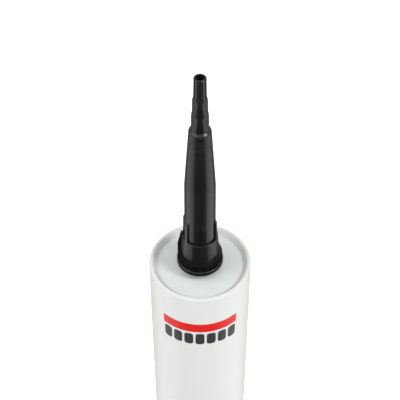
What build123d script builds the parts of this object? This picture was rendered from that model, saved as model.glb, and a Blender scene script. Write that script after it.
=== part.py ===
"""Caulk tube: an upright sealant cartridge with its nozzle, piston and filling.

Millimetres. +Z runs up the cartridge's axis to the nozzle's tip, the print faces -Y,
and the origin is the centre of the rear end that the cartridge stands on.
"""
import os
from math import cos, pi, sin

from build123d import *

# ---- cartridge barrel -------------------------------------------------------
barrel_radius = 25.0
barrel_length = 215.0        # rear end to the top of the rim
barrel_wall = 1.5
rear_lead_depth = 9.0        # slightly wider rear mouth that the piston was pressed in through
rear_lead_relief = 0.25
rear_edge_chamfer = 0.4
rim_width = 1.8              # raised ring round the head, measured at its top
rim_slope = 2.0              # how far the ring's inner wall slopes in down to the head
rim_outer_fillet = 1.0
rim_inner_fillet = 0.5
head_recess = 2.6            # head plate below the top of the rim
head_thickness = 2.2
head_corner_fillet = 0.3
inside_corner_fillet = 1.0

# ---- neck on the head plate -------------------------------------------------
neck_radius = 6.7            # root of the neck's thread
neck_wall = 1.4
neck_height = 20.0           # above the head plate
neck_edge_chamfer = 0.3
neck_step = 0.4              # sloping step from the neck down to the pilot boss
membrane_thickness = 0.8     # moulded shut, cut through before use
pilot_step = 0.8             # how far the plain pilot boss stands out from the neck
pilot_engagement = 4.0       # how far the boss reaches into the nozzle's bore

# ---- nozzle -----------------------------------------------------------------
nozzle_fit = 0.08            # radial running clearance on the pilot boss
seat_depth = 16.0            # bore depth up to the step that sits on the neck
seat_width = 0.55            # how far that step reaches in over the neck's end
seat_cover = 2.2             # collar that is left above the bore
bore_chamfer = 0.4
collar_wall = 1.62           # round the bore, at the collar's lower edge
collar_draft = 0.65
collar_edge_chamfer = 0.2
flange_overhang = 2.05       # beyond the collar's lower edge
flange_thickness = 2.1
flange_edge_fillet = 0.6
knurl_overhang = 1.65        # beyond the collar's lower edge
knurl_depth = 0.7
knurl_height = 3.5
knurl_teeth = 52
knurl_top_slope = 0.4
groove_depth = 0.35
groove_height = 2.0
wall_thickness = 1.35        # of the body above the collar
body_draft = 0.25
body_height = 34.1
taper_radius = 5.1           # top of the long taper
taper_height = 33.2
shoulder_radius = 0.8        # rounding where the taper meets the cutting sections
shoulder_lift = 1.0          # sloping top of the shoulder
mark_count = 5               # fine cutting rings near the top of the taper
mark_pitch = 1.25
mark_depth = 0.12
mark_width = 0.4
mark_start = 2.8             # last ring below the shoulder

# Cutting sections from the lowest up: height, radius at foot and radius at head.
sections = [
    {"height": 9.9, "foot": 3.97, "head": 3.88},
    {"height": 8.3, "foot": 3.48, "head": 3.40},
    {"height": 10.2, "foot": 2.94, "head": 2.76},
]
step_slope = 1.9             # height of the sloping ledge above each of the lower two
flat_count = 5               # flats on the lower two, which deepen upwards
flat_turn = 36.0             # the first flat's angle from the front, towards +X
flat_foot_depth = 0.02
flat_head_depth = 0.3
flute_count = 10             # fine grooves along the last section
flute_radius = 0.4
flute_depth = 0.28
tip_edge_chamfer = 0.15
channel_shoulder_radius = 2.6
channel_tip_radius = 1.85
channel_tip_land = 2.0       # straight end of the channel

# ---- fins round the nozzle's body, and the one rib below them ----------------
fin_turn = -19.5             # the middle of the first pair's angle from the front, towards +X
fin_spread = 33.5            # each fin of the front and back pairs from its pair's middle
fin_thickness = 1.7
fin_setback = 0.2            # from the collar's upper edge
fin_draft = 0.2
fin_height = 13.0
fin_bevel = 2.4
fin_root = 0.5               # how deep each fin's foot and back are sunk into the moulding
rib_turn = -98.0
rib_thickness = 1.4
rib_stand_out = 0.8          # from the collar's top edge, at the ledge
rib_waist_height = 10.6      # its outer edge is upright below this, in line with the knurl
rib_rise = 0.6               # above the ledge

# ---- piston and filling -----------------------------------------------------
piston_inset = 13.0          # rear edge of the piston above the barrel's rear end
piston_length = 18.5
piston_fit = 0.05            # radial running clearance of its two sealing lips
lip_length = 2.5
lip_relief = 0.35
piston_wall = 1.5
piston_crown = 1.8
piston_edge_chamfer = 0.8
piston_rib_count = 12
piston_rib_depth = 2.4
piston_rib_thickness = 1.2
piston_rib_height = 9.0
piston_rib_edge = 3.0        # straight inner edge of each stiffening rib
piston_rib_root = 0.75       # how deep each rib is sunk into the cup's wall and crown
filling_gap = 0.3            # filling to piston
filling_skin = 0.1           # filling to barrel, all round

cut_over = 1.0               # how far a cut runs on past the face that it opens

# ---- radii that follow ------------------------------------------------------
bore_radius = barrel_radius - barrel_wall
pilot_radius = neck_radius + pilot_step
skirt_bore = pilot_radius + nozzle_fit
collar_radius = skirt_bore + collar_wall
collar_top_radius = collar_radius - collar_draft
groove_radius = collar_radius - groove_depth
knurl_radius = collar_radius + knurl_overhang
knurl_root = knurl_radius - knurl_depth
flange_radius = collar_radius + flange_overhang
body_radius = neck_radius - seat_width + wall_thickness
taper_foot_radius = body_radius - body_draft

# ---- heights that follow ----------------------------------------------------
head_top = barrel_length - head_recess
head_under = head_top - head_thickness
neck_top = head_top + neck_height
nozzle_base = neck_top - seat_depth
groove_foot = flange_thickness + knurl_height + knurl_top_slope
collar_foot = groove_foot + groove_height
ledge_height = seat_depth + seat_cover
taper_foot = ledge_height + body_height
shoulder_height = taper_foot + taper_height
tip_foot = shoulder_height + shoulder_lift
tip_height = tip_foot + sum(section["height"] for section in sections)


def turned(points):
    """A solid turned about Z from a closed outline of (radius, height) points."""
    return revolve(make_face(Plane.XZ * Polyline(*points, close=True)), axis=Axis.Z)


def rings(solid, radius, height, slack=0.02):
    """The circular edges of a solid that have this radius and lie at this height."""
    return [
        edge for edge in solid.edges().filter_by(GeomType.CIRCLE)
        if abs(edge.radius - radius) < slack and abs(edge.arc_center.Z - height) < slack
    ]


def radial_plate(points, thickness, turn):
    """A plate of (radius, height) outline that stands out from the axis, turned from the front towards +X."""
    face = make_face(Plane.XZ * Polyline(*points, close=True))
    return Rot(0, 0, turn - 90) * extrude(face, amount=thickness / 2, both=True)


# Barrel: one moulding, tube, head plate, rim and neck, open at the rear.
def make_barrel():
    rim_inner = barrel_radius - rim_width
    pilot_top = nozzle_base + pilot_engagement
    lead_radius = bore_radius + rear_lead_relief
    neck_bore = neck_radius - neck_wall
    barrel = turned([
        (lead_radius, 0),
        (barrel_radius, 0),
        (barrel_radius, barrel_length),
        (rim_inner, barrel_length),
        (rim_inner - rim_slope, head_top),
        (pilot_radius, head_top),
        (pilot_radius, pilot_top),
        (neck_radius, pilot_top + neck_step),
        (neck_radius, neck_top),
        (0, neck_top),
        (0, neck_top - membrane_thickness),
        (neck_bore, neck_top - membrane_thickness),
        (neck_bore, head_under),
        (bore_radius, head_under),
        (bore_radius, rear_lead_depth + 2 * rear_lead_relief),
        (lead_radius, rear_lead_depth),
    ])
    barrel = fillet(rings(barrel, barrel_radius, barrel_length), rim_outer_fillet)
    barrel = fillet(rings(barrel, rim_inner, barrel_length), rim_inner_fillet)
    barrel = fillet(rings(barrel, rim_inner - rim_slope, head_top), head_corner_fillet)
    barrel = fillet(rings(barrel, bore_radius, head_under), inside_corner_fillet)
    barrel = chamfer(rings(barrel, neck_radius, neck_top), neck_edge_chamfer)
    return chamfer(rings(barrel, barrel_radius, 0), rear_edge_chamfer)


# Nozzle: one moulding, built upwards from its flange with its base at height 0.
def make_nozzle_body():
    outline = [
        (0, 0),
        (flange_radius, 0),
        (flange_radius, flange_thickness),
        (knurl_root, flange_thickness),
        (knurl_root, groove_foot),
        (groove_radius, groove_foot),
        (groove_radius, collar_foot),
        (collar_radius, collar_foot),
        (collar_top_radius, ledge_height),
        (body_radius, ledge_height),
        (taper_foot_radius, taper_foot),
    ]
    slope = (taper_foot_radius - taper_radius) / taper_height
    for ring in reversed(range(mark_count)):
        drop = mark_start + ring * mark_pitch
        height = shoulder_height - drop
        radius = taper_radius + slope * drop
        outline += [
            (radius + slope * mark_width / 2, height - mark_width / 2),
            (radius - mark_depth, height),
            (radius - slope * mark_width / 2, height + mark_width / 2),
        ]
    outline += [
        (taper_radius, shoulder_height),
        (sections[0]["foot"], tip_foot),
        (0, tip_foot),
    ]
    body = turned(outline)
    body = fillet(rings(body, taper_radius, shoulder_height), shoulder_radius)
    body = fillet(rings(body, flange_radius, flange_thickness), flange_edge_fillet)
    return chamfer(rings(body, collar_top_radius, ledge_height), collar_edge_chamfer)


def make_knurl():
    points = []
    for tooth in range(knurl_teeth):
        for quarter, radius in enumerate((knurl_root, knurl_radius, knurl_radius, knurl_root)):
            angle = 2 * pi * (tooth + quarter / 4) / knurl_teeth
            points.append((radius * cos(angle), radius * sin(angle)))
    ring = extrude(make_face(Polyline(*points, close=True)), amount=knurl_height)
    slope = turned([
        (0, 0),
        (knurl_root, 0),
        (knurl_root - knurl_top_slope, knurl_top_slope),
        (0, knurl_top_slope),
    ])
    return Pos(0, 0, flange_thickness) * (ring + Pos(0, 0, knurl_height) * slope)


def make_section(section, radius_above):
    """One cutting section with its base at height 0: round at the foot, with flats that deepen upwards."""
    height = section["height"]
    core = turned([
        (0, 0),
        (section["foot"], 0),
        (section["head"], height - step_slope),
        (radius_above, height),
        (0, height),
    ])
    foot = RegularPolygon(section["foot"] - flat_foot_depth, flat_count, major_radius=False)
    head = RegularPolygon(section["head"] - flat_head_depth, flat_count, major_radius=False)
    first_flat = flat_turn - 90 - 180 / flat_count
    return core & (Rot(0, 0, first_flat) * loft([foot, Pos(0, 0, height) * head]))


def make_last_section(section):
    """The last cutting section with its base at height 0: round and fluted, down to the ledge below."""
    height = section["height"]
    piece = turned([
        (0, 0),
        (section["foot"], 0),
        (section["head"], height - tip_edge_chamfer),
        (section["head"] - tip_edge_chamfer, height),
        (0, height),
    ])
    out_foot = section["foot"] + flute_radius - flute_depth
    out_head = section["head"] + flute_radius - flute_depth
    for flute in range(flute_count):
        angle = 2 * pi * (flute + 1 / 2) / flute_count
        start = Vector(out_foot * sin(angle), -out_foot * cos(angle), 0)
        end = Vector(out_head * sin(angle), -out_head * cos(angle), height)
        track = Plane(origin=start, z_dir=end - start)
        reach = height + 2 * flute_radius
        piece -= track * Cylinder(flute_radius, reach, align=(Align.CENTER, Align.CENTER, Align.MIN))
    return piece


def make_tip():
    """The stepped cutting sections that stand on the shoulder."""
    tip = Pos(0, 0, tip_height - sections[-1]["height"]) * make_last_section(sections[-1])
    foot_height = tip_foot
    for section, above in zip(sections, sections[1:]):
        tip += Pos(0, 0, foot_height) * make_section(section, above["foot"])
        foot_height += section["height"]
    return tip


def make_fins():
    """A pair of fins at the front, a pair at the back and one on each side."""
    fin_foot = ledge_height - fin_root
    fin_top = ledge_height + fin_height
    fin_foot_radius = collar_top_radius - fin_setback
    inner = taper_foot_radius - fin_root
    outline = [
        (inner, fin_foot),
        (fin_foot_radius, fin_foot),
        (fin_foot_radius - fin_draft, fin_top - fin_bevel),
        (taper_foot_radius, fin_top),
        (inner, fin_top),
    ]
    pairs = [middle + side * fin_spread for middle in (0, 180) for side in (-1, 1)]
    return [radial_plate(outline, fin_thickness, fin_turn + angle) for angle in (-90, 90, *pairs)]


def make_rib():
    """The rib on one side, from the flange up past the ledge; it leans in above its waist."""
    fin_foot_radius = collar_top_radius - fin_setback
    outline = [
        (groove_radius - fin_root, flange_thickness - fin_root),
        (knurl_radius, flange_thickness - fin_root),
        (knurl_radius, rib_waist_height),
        (collar_top_radius + rib_stand_out, ledge_height),
        (fin_foot_radius, ledge_height + rib_rise),
        (taper_foot_radius - fin_root, ledge_height + rib_rise),
        (taper_foot_radius - fin_root, ledge_height - fin_root),
        (groove_radius - fin_root, ledge_height - fin_root),
    ]
    return radial_plate(outline, rib_thickness, rib_turn)


def make_channel():
    """The space inside the nozzle: threaded bore, long channel and outlet."""
    flare = skirt_bore + bore_chamfer + cut_over
    return turned([
        (0, -cut_over),
        (flare, -cut_over),
        (skirt_bore, bore_chamfer),
        (skirt_bore, seat_depth),
        (body_radius - wall_thickness, seat_depth),
        (taper_foot_radius - wall_thickness, taper_foot),
        (channel_shoulder_radius, shoulder_height),
        (channel_tip_radius, tip_height - channel_tip_land),
        (channel_tip_radius, tip_height + cut_over),
        (0, tip_height + cut_over),
    ])


def make_nozzle():
    nozzle = make_nozzle_body() + make_knurl() + make_tip() + make_fins() + make_rib()
    return Pos(0, 0, nozzle_base) * (nozzle - make_channel())


# Piston: a cup open to the rear, with a sealing lip at each end and stiffening ribs inside.
def make_piston():
    lip = bore_radius - piston_fit
    waist = lip - lip_relief
    inside = waist - piston_wall
    crown_under = piston_length - piston_crown
    cup = turned([
        (inside, 0),
        (lip, 0),
        (lip, lip_length),
        (waist, lip_length + lip_relief),
        (waist, piston_length - lip_length - lip_relief),
        (lip, piston_length - lip_length),
        (lip, piston_length),
        (0, piston_length),
        (0, crown_under),
        (inside, crown_under),
    ])
    cup = chamfer(rings(cup, lip, piston_length), piston_edge_chamfer)
    cup = fillet(rings(cup, inside, crown_under), inside_corner_fillet)
    rib = [
        (inside - piston_rib_depth, crown_under + piston_rib_root),
        (inside - piston_rib_depth, crown_under - piston_rib_edge),
        (inside, crown_under - piston_rib_height),
        (inside + piston_rib_root, crown_under - piston_rib_height),
        (inside + piston_rib_root, crown_under + piston_rib_root),
    ]
    cup += [
        radial_plate(rib, piston_rib_thickness, 360 * index / piston_rib_count)
        for index in range(piston_rib_count)
    ]
    return Pos(0, 0, piston_inset) * cup


# Filling: the paste between piston and head, up through the neck to its membrane.
def make_filling():
    column = bore_radius - filling_skin
    neck_bore = neck_radius - neck_wall - filling_skin
    filling_foot = piston_inset + piston_length + filling_gap
    filling = turned([
        (0, filling_foot),
        (column, filling_foot),
        (column, head_under - filling_skin),
        (neck_bore, head_under - filling_skin),
        (neck_bore, neck_top - membrane_thickness - filling_skin),
        (0, neck_top - membrane_thickness - filling_skin),
    ])
    return fillet(rings(filling, column, head_under - filling_skin), inside_corner_fillet)


pieces = {
    "cartridge_barrel": make_barrel(),
    "nozzle": make_nozzle(),
    "piston": make_piston(),
    "sealant": make_filling(),
}

os.makedirs("parts", exist_ok=True)
for name, piece in pieces.items():
    export_step(piece, f"parts/{name}.step")
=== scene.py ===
import bpy
from math import cos, pi, radians, sin
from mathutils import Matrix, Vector


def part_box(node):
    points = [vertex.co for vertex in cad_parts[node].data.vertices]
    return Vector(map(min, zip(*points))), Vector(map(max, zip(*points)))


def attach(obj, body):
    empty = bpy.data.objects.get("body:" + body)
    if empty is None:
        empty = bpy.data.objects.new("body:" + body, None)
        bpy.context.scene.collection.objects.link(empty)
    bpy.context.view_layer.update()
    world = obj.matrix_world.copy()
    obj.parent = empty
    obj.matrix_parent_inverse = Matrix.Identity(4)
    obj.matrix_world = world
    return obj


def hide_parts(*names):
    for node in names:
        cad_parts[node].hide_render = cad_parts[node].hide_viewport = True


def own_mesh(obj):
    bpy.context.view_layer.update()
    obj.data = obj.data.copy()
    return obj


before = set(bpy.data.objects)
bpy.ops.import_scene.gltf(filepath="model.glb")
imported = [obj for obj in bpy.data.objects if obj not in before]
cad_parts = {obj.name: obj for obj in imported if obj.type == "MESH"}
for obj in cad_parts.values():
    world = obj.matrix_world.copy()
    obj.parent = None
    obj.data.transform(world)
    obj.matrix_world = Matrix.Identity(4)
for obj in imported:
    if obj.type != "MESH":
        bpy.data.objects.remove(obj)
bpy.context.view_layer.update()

# ---- Cartridge barrel --------------------------------------------------------
# The real piece is one injection moulding in white polyethylene: tube, recessed head, rim and neck.
# Its wall is satin and screen printed with a red band and dark blocks; the bare head is a little bluer.
barrel_low, barrel_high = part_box("cartridge_barrel")
barrel_radius = (barrel_high.x - barrel_low.x) / 2
neck_above_rim = 0.0174
rim_top = barrel_high.z - neck_above_rim
rim_inner = 0.0213
head_recess = 0.0026
head_top = rim_top - head_recess
head_edge = 0.0005           # over which the wall's tone turns into the head's

band_below_rim = 0.0189
band_top = rim_top - band_below_rim
band_height = 0.0062
band_reach = radians(45.3)   # either way from the front
band_end = 0.003             # radians either way, over which the ink fades at its ends
block_gap = 0.0014           # from the band down to the blocks
block_height = 0.0085
block_count = 7
block_space = 0.0011         # between two blocks
block_corner = 0.0016
ink_edge = 0.00006
ink_patch = 0.003            # size of the ink's thin and thick places
ink_thickness = 0.000008

wall_white = (0.585, 0.597, 0.575, 1), (0.615, 0.627, 0.605, 1)
head_white = (0.585, 0.62, 0.60, 1), (0.615, 0.645, 0.63, 1)
band_red = (0.585, 0.0035, 0.0025, 1), (0.64, 0.006, 0.0045, 1)
block_grey = (0.028, 0.030, 0.032, 1), (0.040, 0.042, 0.044, 1)
polyethylene_ior = 1.5


class Wire:
    """One value in a material's nodes. Sums, differences and products of it add Math nodes."""

    def __init__(self, finish, socket):
        self.finish = finish
        self.socket = socket

    def __add__(self, other):
        return self.finish.math("ADD", self, other)

    def __radd__(self, other):
        return self.finish.math("ADD", other, self)

    def __sub__(self, other):
        return self.finish.math("SUBTRACT", self, other)

    def __rsub__(self, other):
        return self.finish.math("SUBTRACT", other, self)

    def __mul__(self, other):
        return self.finish.math("MULTIPLY", self, other)

    def __rmul__(self, other):
        return self.finish.math("MULTIPLY", other, self)

    def __abs__(self):
        return self.finish.math("ABSOLUTE", self)


class Finish:
    """A node material on one Principled shader, built value by value."""

    def __init__(self, name):
        self.material = bpy.data.materials.new(name)
        self.material.use_nodes = True
        self.tree = self.material.node_tree
        self.shader = self.tree.nodes["Principled BSDF"]

    def node(self, kind, settings, sockets, output=0):
        """Adds one node: its settings first, then the values or links of its sockets."""
        made = self.tree.nodes.new("ShaderNode" + kind)
        for name, value in settings.items():
            setattr(made, name, value)
        for name, value in sockets.items():
            self.feed(made.inputs[name], value)
        return Wire(self, made.outputs[output])

    def feed(self, socket, value):
        if isinstance(value, Wire):
            self.tree.links.new(value.socket, socket)
        else:
            socket.default_value = value

    def math(self, operation, *values):
        return self.node("Math", {"operation": operation}, dict(enumerate(values)))

    def place(self):
        return self.node("TexCoord", {}, {}, "Object")

    def split(self, vector):
        return [self.node("SeparateXYZ", {}, {"Vector": vector}, axis) for axis in "XYZ"]

    def noise(self, vector, size, detail=2.0):
        """A cloudy pattern from 0 to 1, with patches of the given size in metres."""
        sockets = {"Vector": vector, "Scale": 1 / size, "Detail": detail}
        return self.node("TexNoise", {}, sockets, "Fac")

    def stretch(self, vector, scale):
        return self.node("VectorMath", {"operation": "MULTIPLY"}, {0: vector, 1: scale})

    def ease(self, value, start, end):
        """0 before start, 1 after end, smooth between."""
        sockets = {"Value": value, "From Min": start, "From Max": end}
        return self.node("MapRange", {"interpolation_type": "SMOOTHSTEP"}, sockets)

    def inside(self, value, low, high, edge):
        """1 between low and high, with soft edges."""
        return self.ease(value, low - edge, low + edge) * (1 - self.ease(value, high - edge, high + edge))

    def blend(self, share, first, second):
        sockets = {"Factor": share, "A": first, "B": second}
        return self.node("Mix", {"data_type": "RGBA"}, sockets, "Result")

    def bump(self, height):
        """A normal from a height in metres."""
        return self.node("Bump", {}, {"Height": height, "Strength": 1.0, "Distance": 1.0})

    def surface(self, **sockets):
        for name, value in sockets.items():
            self.feed(self.shader.inputs[name.replace("_", " ")], value)
        return self.material


def dress(node, material):
    """Gives a CAD node its material."""
    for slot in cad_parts[node].material_slots:
        slot.link = "OBJECT"
        slot.material = material


def block_mask(finish, around, z):
    """1 on the row of rounded blocks, which repeats round the wall below the band."""
    middle = band_top - band_height - block_gap - block_height / 2
    pitch = 2 * band_reach / block_count
    half_width = (pitch * barrel_radius - block_space) / 2
    beside = abs(finish.math("WRAP", around, pitch / 2, -pitch / 2)) * barrel_radius
    beyond_x = finish.math("MAXIMUM", beside - (half_width - block_corner), 0.0)
    beyond_z = finish.math("MAXIMUM", abs(z - middle) - (block_height / 2 - block_corner), 0.0)
    out = finish.math("SQRT", beyond_x * beyond_x + beyond_z * beyond_z)
    return 1 - finish.ease(out, block_corner - ink_edge, block_corner + ink_edge)


def barrel_finish():
    finish = Finish("white_polyethylene")
    place = finish.place()
    x, y, z = finish.split(place)
    around = finish.math("ARCTAN2", x, 0 - y)
    across = finish.math("SQRT", x * x + y * y)
    front = 1 - finish.ease(abs(around), band_reach - band_end, band_reach + band_end)
    red = front * finish.inside(z, band_top - band_height, band_top, ink_edge)
    dark = front * block_mask(finish, around, z)
    ink = red + dark
    within_rim = 1 - finish.ease(across, rim_inner - head_edge, rim_inner)
    head = within_rim * finish.ease(z, head_top - 2 * head_edge, head_top - head_edge)
    mottle = finish.noise(place, size=0.012, detail=3.0)
    grain = finish.noise(place, size=0.0007)
    density = finish.noise(place, size=ink_patch, detail=4.0)
    colour = finish.blend(head, finish.blend(mottle, *wall_white), finish.blend(mottle, *head_white))
    colour = finish.blend(red, colour, finish.blend(density, *band_red))
    colour = finish.blend(dark, colour, finish.blend(density, *block_grey))
    rough = 0.34 + 0.10 * mottle + 0.05 * grain - 0.06 * ink + 0.08 * head
    relief = 0.000010 * grain + 0.00003 * mottle + ink_thickness * ink
    return finish.surface(
        Base_Color=colour, Roughness=rough, Normal=finish.bump(relief),
        IOR=polyethylene_ior, Specular_IOR_Level=0.2,
        Subsurface_Weight=0.12, Subsurface_Scale=0.003, Subsurface_Radius=(1.0, 0.95, 0.85))


dress("cartridge_barrel", barrel_finish())

# ---- Neck thread -------------------------------------------------------------
# The neck is moulded with a coarse right-hand thread that the nozzle screws onto.
# It is part of the barrel's moulding, and shows only when the nozzle is off.
thread_pitch = 0.0024
thread_steps = 64            # to a turn
ridge_half_root = 0.22 * thread_pitch
ridge_half_crest = 0.10 * thread_pitch
ridge_sink = 0.0001          # how deep the ridge starts in the wall that bears it
run_out_share = 3            # the ridge runs out over a turn divided by this
neck_root = 0.0067
neck_crest = 0.00732
thread_above_rim = 0.0078
thread_foot = rim_top + thread_above_rim
neck_thread_turns = 3.1


def closed_mesh(name, points, faces):
    """A mesh object in the scene, with every face turned outwards."""
    mesh = bpy.data.meshes.new(name)
    mesh.from_pydata(points, [], faces)
    mesh.validate()
    mesh.update()
    made = bpy.data.objects.new(name, mesh)
    bpy.context.scene.collection.objects.link(made)
    bpy.context.view_layer.objects.active = made
    made.select_set(True)
    bpy.ops.object.mode_set(mode="EDIT")
    bpy.ops.mesh.select_all(action="SELECT")
    bpy.ops.mesh.normals_make_consistent(inside=False)
    bpy.ops.object.mode_set(mode="OBJECT")
    made.select_set(False)
    return made


def thread(name, turns, root, crest, lead):
    """A right-handed helical ridge of trapezium section, whose ends run out into the wall."""
    points, faces = [], []
    count = round(turns * thread_steps)
    sunk = root - ridge_sink if crest > root else root + ridge_sink
    for step in range(count + 1):
        angle = 2 * pi * step / thread_steps + lead
        height = thread_foot + thread_pitch * step / thread_steps
        to_end = min(step, count - step)
        top = root + (crest - root) * min(1.0, run_out_share * to_end / thread_steps)
        section = (
            (sunk, -ridge_half_root), (top, -ridge_half_crest),
            (top, ridge_half_crest), (sunk, ridge_half_root))
        for radius, offset in section:
            points.append((radius * sin(angle), -radius * cos(angle), height + offset))
        if step:
            a, b = 4 * (step - 1), 4 * step
            faces += [(a + i, a + (i + 1) % 4, b + (i + 1) % 4, b + i) for i in range(4)]
    last = 4 * count
    faces += [(3, 2, 1, 0), (last, last + 1, last + 2, last + 3)]
    return closed_mesh(name, points, faces)


neck_thread = thread("neck_thread", neck_thread_turns, neck_root, neck_crest, 0.0)
neck_thread.data.materials.append(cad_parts["cartridge_barrel"].material_slots[0].material)
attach(neck_thread, "barrel")

# ---- Nozzle ------------------------------------------------------------------
# One moulding in black polyethylene: flange, knurled ring, collar, fins, long taper and cutting sections.
# It is satin, with a fine moulded grain and faint drawing marks along the taper.
nozzle_black = (0.0045, 0.0047, 0.0046, 1), (0.0085, 0.0088, 0.0085, 1)
drawing_stretch = (1.0, 1.0, 0.04)


def nozzle_finish():
    finish = Finish("black_polyethylene")
    place = finish.place()
    grain = finish.noise(place, size=0.0004)
    drawn = finish.noise(finish.stretch(place, drawing_stretch), size=0.0012, detail=3.0)
    cloud = finish.noise(place, size=0.009, detail=3.0)
    rough = 0.25 + 0.08 * cloud + 0.05 * drawn
    relief = 0.000006 * grain + 0.000010 * drawn
    return finish.surface(
        Base_Color=finish.blend(cloud, *nozzle_black), Roughness=rough, Normal=finish.bump(relief),
        IOR=polyethylene_ior, Specular_IOR_Level=0.42)


dress("nozzle", nozzle_finish())

# ---- Nozzle thread -----------------------------------------------------------
# The mating thread inside the nozzle's skirt, half a turn away from the neck's ridge.
# It is part of the nozzle's moulding, and shows from below when the nozzle is off.
nozzle_root = 0.00758
nozzle_crest = 0.00698
nozzle_thread_turns = 2.8
nozzle_thread = thread("nozzle_thread", nozzle_thread_turns, nozzle_root, nozzle_crest, pi)
nozzle_thread.data.materials.append(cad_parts["nozzle"].material_slots[0].material)
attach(nozzle_thread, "nozzle")

# ---- Piston ------------------------------------------------------------------
# A cup moulded in natural polyethylene, pressed in from the rear; its two lips wipe the bore.
# Its finish is milky and satin, with the moulding's faint rings.
piston_white = (0.74, 0.76, 0.72, 1), (0.80, 0.815, 0.78, 1)
ring_pitch = 0.0011


def piston_finish():
    finish = Finish("natural_polyethylene")
    place = finish.place()
    x, y, z = finish.split(place)
    across = finish.math("SQRT", x * x + y * y)
    rings = finish.math("SINE", across * (2 * pi / ring_pitch))
    cloud = finish.noise(place, size=0.006, detail=3.0)
    relief = 0.000003 * rings + 0.000008 * finish.noise(place, size=0.0006)
    return finish.surface(
        Base_Color=finish.blend(cloud, *piston_white), Roughness=0.36 + 0.12 * cloud,
        Normal=finish.bump(relief), IOR=polyethylene_ior, Subsurface_Weight=0.2, Subsurface_Scale=0.003)


dress("piston", piston_finish())

# ---- Sealant -----------------------------------------------------------------
# The filling: a smooth white paste pressed in behind the head, up the neck to the membrane.
# As the piston rises it leaves through the nozzle, so here it shortens towards the head.
sealant_low, sealant_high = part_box("sealant")
column_radius = sealant_high.x
column_below_head = 0.0023
column_top = head_top - column_below_head
column_corner = 0.0012
column_corner_steps = 6
dish_depth = 0.00024         # the foot is a little hollow
dish_radius = 0.99 * column_radius
dish_rings = 12
foot_edge = 0.0003
plug_radius = 0.0052         # in the neck
plug_root = 0.0006
plug_edge = 0.0004
sealant_segments = 96
paste_white = (0.80, 0.80, 0.775, 1), (0.84, 0.84, 0.82, 1)
smear_stretch = (1.0, 1.0, 3.0)


def lathe(name, outline, segments):
    """A closed solid turned about Z from (radius, height) points that start and end on the axis."""
    points, faces = [(0, 0, outline[0][1])], []
    rows = outline[1:-1]
    for radius, height in rows:
        for step in range(segments):
            angle = 2 * pi * step / segments
            points.append((radius * sin(angle), -radius * cos(angle), height))
    points.append((0, 0, outline[-1][1]))
    last = len(points) - 1
    top = 1 + (len(rows) - 1) * segments
    for step in range(segments):
        after = (step + 1) % segments
        faces.append((0, 1 + after, 1 + step))
        for row in range(len(rows) - 1):
            a, b = 1 + row * segments, 1 + (row + 1) * segments
            faces.append((a + step, a + after, b + after, b + step))
        faces.append((top + step, top + after, last))
    return closed_mesh(name, points, faces)


def sealant_outline():
    """The paste's half section: dished foot, straight column, rounded top edge, and the plug in the neck."""
    outline = [(0, sealant_low.z + dish_depth)]
    for ring in range(1, dish_rings + 1):
        share = ring / dish_rings
        outline.append((dish_radius * share, sealant_low.z + dish_depth * (1 - share)))
    outline += [(column_radius, sealant_low.z + foot_edge), (column_radius, column_top - column_corner)]
    for step in range(1, column_corner_steps + 1):
        turn = pi / 2 * step / column_corner_steps
        inward, down = column_corner * (1 - cos(turn)), column_corner * (1 - sin(turn))
        outline.append((column_radius - inward, column_top - down))
    return outline + [
        (plug_radius + plug_root, column_top),
        (plug_radius, column_top + plug_root),
        (plug_radius, sealant_high.z - plug_edge),
        (plug_radius - plug_edge, sealant_high.z),
        (0, sealant_high.z),
    ]


def sealant_finish():
    finish = Finish("white_paste")
    smear = finish.noise(finish.stretch(finish.place(), smear_stretch), size=0.008, detail=3.0)
    return finish.surface(
        Base_Color=finish.blend(smear, *paste_white), Roughness=0.22 + 0.1 * smear,
        Normal=finish.bump(0.00012 * smear), IOR=1.42, Subsurface_Weight=0.2, Subsurface_Scale=0.002)


sealant = lathe("sealant_paste", sealant_outline(), sealant_segments)
for face in sealant.data.polygons:
    face.use_smooth = True
sealant.data.materials.append(sealant_finish())
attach(sealant, "barrel")
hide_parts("sealant")
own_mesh(sealant)

# ---- Studio ------------------------------------------------------------------
# A pale floor under a bright surround, with the main light high on the right and a fill on the left.
# Dark cards before and behind the tube, and glowing ones at its sides, are seen only in glossy reflections:
# they paint dark and bright reflections that model the black nozzle's round body.
floor_reach = 6.0
floor_corners = (-1, -1), (1, -1), (1, 1), (-1, 1)
floor_grey = (0.90, 0.90, 0.90, 1)
floor_glow = 0.34
cloud_shade = 0.985
card_black = (0.01, 0.01, 0.01, 1)
card_near = 0.03
card_far = 3.0
card_lift = 0.001            # above the floor
card_steps = 16
light_distance = 1.2
horizon_glow = 1.0
zenith_glow = 0.48


def studio_finish(name, colour, glow):
    """A matt, faintly clouded surface that also gives off some light."""
    finish = Finish(name)
    cloud = finish.noise(finish.place(), size=0.4)
    darker = tuple(cloud_shade * part for part in colour[:3]) + (1,)
    return finish.surface(
        Base_Color=finish.blend(cloud, colour, darker), Roughness=0.9,
        Emission_Color=(1, 1, 1, 1), Emission_Strength=glow, Specular_IOR_Level=0.1)


def stage_sheet(name, points, faces, material):
    """A sheet of the studio, which isn't part of the tube."""
    mesh = bpy.data.meshes.new(name)
    mesh.from_pydata(points, [], faces)
    mesh.materials.append(material)
    made = bpy.data.objects.new(name, mesh)
    bpy.context.scene.collection.objects.link(made)
    return made


def floor_card(name, middle, reach, glow):
    """A card on the floor, a fan about the tube that only glossy reflections see."""
    points, faces = [], []
    for step in range(card_steps + 1):
        angle = middle + reach * (2 * step / card_steps - 1)
        for radius in (card_near, card_far):
            points.append((radius * sin(angle), -radius * cos(angle), card_lift))
        if step:
            a = 2 * (step - 1)
            faces.append((a, a + 1, a + 3, a + 2))
    card = stage_sheet(name, points, faces, studio_finish(name, card_black, glow))
    card.visible_camera = False
    card.visible_diffuse = False
    card.visible_shadow = False
    card.visible_transmission = False


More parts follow.
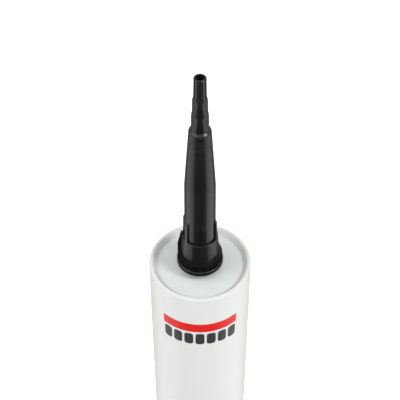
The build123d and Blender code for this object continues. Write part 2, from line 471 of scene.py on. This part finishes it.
def softbox(name, turn, rise, size, power):
    """A square light that faces the tube's head, turned from the front towards +X."""
    light = bpy.data.lights.new(name, "AREA")
    light.size = size
    light.energy = power
    made = bpy.data.objects.new(name, light)
    away = Vector((sin(turn) * cos(rise), -cos(turn) * cos(rise), sin(rise)))
    made.location = Vector((0, 0, rim_top)) + away * light_distance
    made.rotation_euler = away.to_track_quat("Z", "Y").to_euler()
    bpy.context.scene.collection.objects.link(made)


stage_sheet(
    "floor", [(x * floor_reach, y * floor_reach, 0) for x, y in floor_corners], [(0, 1, 2, 3)],
    studio_finish("pale_floor", floor_grey, floor_glow))
# Painted reflections: cards seen only by glossy rays, dark before and behind the tube, glowing at its sides.
floor_card("front_card", middle=0.0, reach=radians(50), glow=0.03)
floor_card("right_card", middle=radians(76), reach=radians(20), glow=1.2)
floor_card("left_card", middle=radians(-76), reach=radians(20), glow=1.05)
floor_card("back_card", middle=pi, reach=radians(72), glow=0.22)
softbox("key_light", turn=radians(64), rise=radians(45), size=0.26, power=6.6)
softbox("fill_light", turn=radians(-72), rise=radians(46), size=0.95, power=6.4)
softbox("top_light", turn=radians(5), rise=radians(72), size=0.5, power=2.2)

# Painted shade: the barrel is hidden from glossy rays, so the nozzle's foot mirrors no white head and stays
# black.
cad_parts["cartridge_barrel"].visible_glossy = False

world = bpy.data.worlds.new("studio")
world.use_nodes = True
sky = world.node_tree.nodes
direction = sky.new("ShaderNodeTexCoord")
axes = sky.new("ShaderNodeSeparateXYZ")
fade = sky.new("ShaderNodeMapRange")
world.node_tree.links.new(direction.outputs["Generated"], axes.inputs["Vector"])
world.node_tree.links.new(axes.outputs["Z"], fade.inputs["Value"])
world.node_tree.links.new(fade.outputs["Result"], sky["Background"].inputs["Strength"])
fade.inputs["To Min"].default_value = horizon_glow
fade.inputs["To Max"].default_value = zenith_glow
sky["Background"].inputs["Color"].default_value = (1, 1, 1, 1)
bpy.context.scene.world = world
bpy.context.scene.view_settings.view_transform = "Standard"

camera_back = 0.340
camera_above_rim = 0.402
camera_tilt = radians(46.55)
camera = bpy.data.objects.new("camera", bpy.data.cameras.new("camera"))
camera.data.lens = 96.5
camera.data.sensor_width = 36.0
camera.location = (0, -camera_back, rim_top + camera_above_rim)
camera.rotation_euler = (pi / 2 - camera_tilt, 0, 0)
bpy.context.scene.collection.objects.link(camera)
bpy.context.scene.camera = camera
